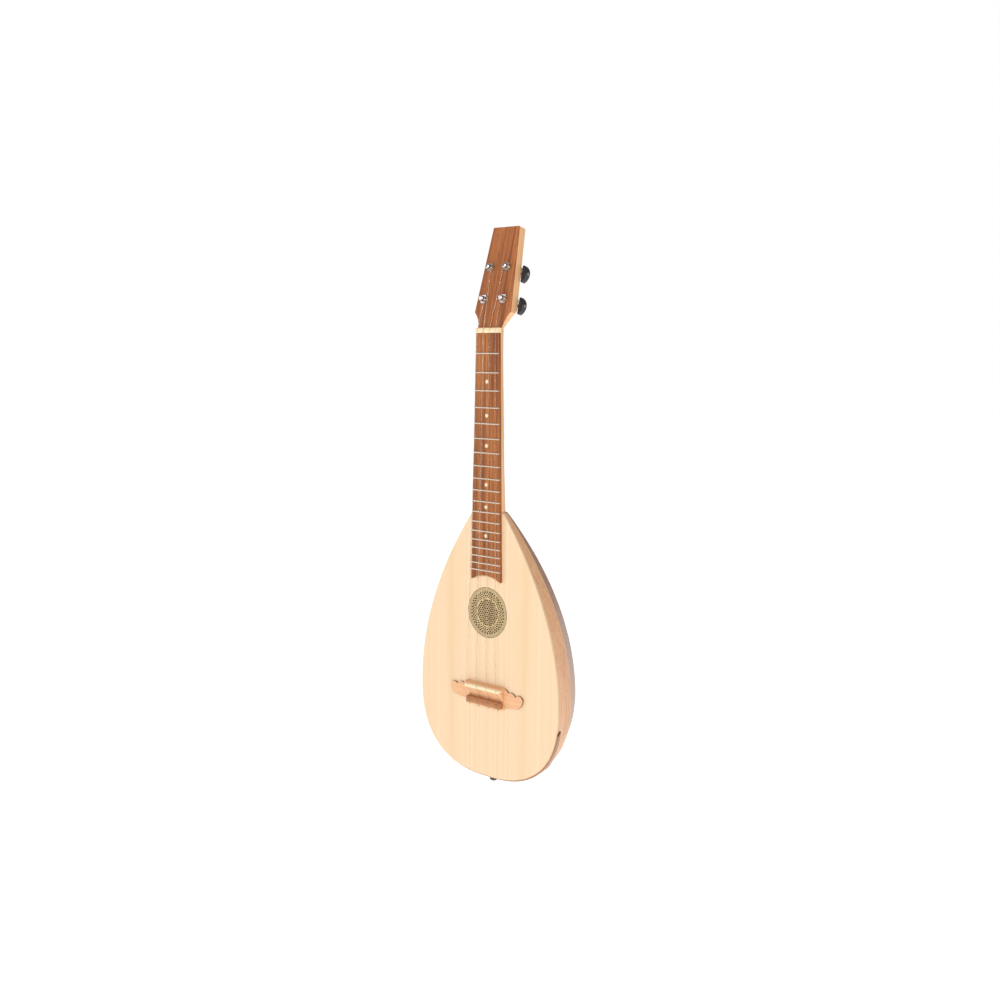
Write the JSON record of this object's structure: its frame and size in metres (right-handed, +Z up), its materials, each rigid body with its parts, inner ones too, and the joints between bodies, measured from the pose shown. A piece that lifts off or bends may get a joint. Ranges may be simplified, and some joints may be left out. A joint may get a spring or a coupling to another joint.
{
  "type": "bowl-back ukulele",
  "caption": "Fretted lute-shaped instrument with a staved bowl back, round pierced rose, tied bridge and geared tuners on a flat head.",
  "frame": {"origin": "centre of the end pin's head, in the plane where the head seats, on the tail at the instrument's lower end", "axes": "+Z up the neck towards the head, -Y out of the soundboard, +X to the treble side, on the viewer's right from the front"},
  "size_m": [0.2232, 0.1151, 0.6847],
  "materials": {
    "spruce_soundboard": "satin clear lacquer",
    "bleached_wood": "cut veneer, matt",
    "mahogany_ribs": "satin clear lacquer",
    "maple_light": "satin clear lacquer",
    "spruce_inner": "bare",
    "walnut": "satin",
    "fret_metal": "polished nickel silver",
    "pearl": "polished",
    "bone": "polished bone-coloured",
    "dark_hardwood": "polished",
    "string_plastic": "clear nylon look",
    "black_plastic": "gloss",
    "chromed_metal": "polished",
    "steel_worm": "turned",
    "brass_gear": "cut"
  },
  "bodies": {
    "instrument": {"soundboard_bass_half": "spruce_soundboard", "soundboard_treble_half": "spruce_soundboard", "rosette_ring": "bleached_wood", "rosette_lattice": "bleached_wood", "rib_1": "mahogany_ribs", "rib_2": "mahogany_ribs", "rib_3": "mahogany_ribs", "rib_4": "mahogany_ribs", "rib_5": "mahogany_ribs", "rib_6": "mahogany_ribs", "rib_7": "mahogany_ribs", "rib_8": "mahogany_ribs", "rib_9": "mahogany_ribs", "rib_purflings": "maple_light", "neck_block": "spruce_inner", "tail_block": "spruce_inner", "tail_clasp": "walnut", "soundboard_braces": "spruce_inner", "bridge_patch": "spruce_inner", "neck": "maple_light", "head_veneer": "walnut", "fingerboard": "walnut", "frets": "fret_metal", "fret_dots": "pearl", "nut": "bone", "bridge": "maple_light", "saddle": "bone", "tie_block": "walnut", "end_pin": "dark_hardwood", "string_g": "string_plastic", "string_c": "string_plastic", "string_e": "string_plastic", "string_a": "string_plastic", "tuner_bushings": "chromed_metal", "tuner_screws": "chromed_metal", "tuner_housing_g": "chromed_metal", "tuner_housing_c": "chromed_metal", "tuner_housing_e": "chromed_metal", "tuner_housing_a": "chromed_metal"},
    "tuner_key_g": {"worm_shaft_g": "steel_worm", "button_g": "black_plastic", "button_screw_g": "chromed_metal"},
    "string_post_g": {"post_g": "chromed_metal", "worm_wheel_g": "brass_gear"},
    "tuner_key_c": {"worm_shaft_c": "steel_worm", "button_c": "black_plastic", "button_screw_c": "chromed_metal"},
    "string_post_c": {"post_c": "chromed_metal", "worm_wheel_c": "brass_gear"},
    "tuner_key_e": {"worm_shaft_e": "steel_worm", "button_e": "black_plastic", "button_screw_e": "chromed_metal"},
    "string_post_e": {"post_e": "chromed_metal", "worm_wheel_e": "brass_gear"},
    "tuner_key_a": {"worm_shaft_a": "steel_worm", "button_a": "black_plastic", "button_screw_a": "chromed_metal"},
    "string_post_a": {"post_a": "chromed_metal", "worm_wheel_a": "brass_gear"}
  },
  "joints": [
    {"name": "key_turn_g", "type": "hinge", "parent": "instrument", "child": "tuner_key_g", "pos_m": [-0.0154, 0.00743, 0.58186], "axis": [1, 0, 0], "continuous": true},
    {"name": "post_turn_g", "type": "hinge", "parent": "instrument", "child": "string_post_g", "pos_m": [-0.0154, -0.00627, 0.59032], "axis": [0, 0.972, -0.2351], "continuous": true},
    {"name": "key_turn_c", "type": "hinge", "parent": "instrument", "child": "tuner_key_c", "pos_m": [-0.0133, 0.01662, 0.61986], "axis": [1, 0, 0], "continuous": true},
    {"name": "post_turn_c", "type": "hinge", "parent": "instrument", "child": "string_post_c", "pos_m": [-0.0133, 0.00292, 0.62832], "axis": [0, 0.972, -0.2351], "continuous": true},
    {"name": "key_turn_e", "type": "hinge", "parent": "instrument", "child": "tuner_key_e", "pos_m": [0.0133, 0.01662, 0.61986], "axis": [1, 0, 0], "continuous": true},
    {"name": "post_turn_e", "type": "hinge", "parent": "instrument", "child": "string_post_e", "pos_m": [0.0133, 0.00292, 0.62832], "axis": [0, 0.972, -0.2351], "continuous": true},
    {"name": "key_turn_a", "type": "hinge", "parent": "instrument", "child": "tuner_key_a", "pos_m": [0.0154, 0.00743, 0.58186], "axis": [1, 0, 0], "continuous": true},
    {"name": "post_turn_a", "type": "hinge", "parent": "instrument", "child": "string_post_a", "pos_m": [0.0154, -0.00627, 0.59032], "axis": [0, 0.972, -0.2351], "continuous": true}
  ],
  "couplings": [
    {"joint": "post_turn_g", "follows": "key_turn_g", "ratio": 0.071429},
    {"joint": "post_turn_c", "follows": "key_turn_c", "ratio": 0.071429},
    {"joint": "post_turn_e", "follows": "key_turn_e", "ratio": 0.071429},
    {"joint": "post_turn_a", "follows": "key_turn_a", "ratio": 0.071429}
  ]
}
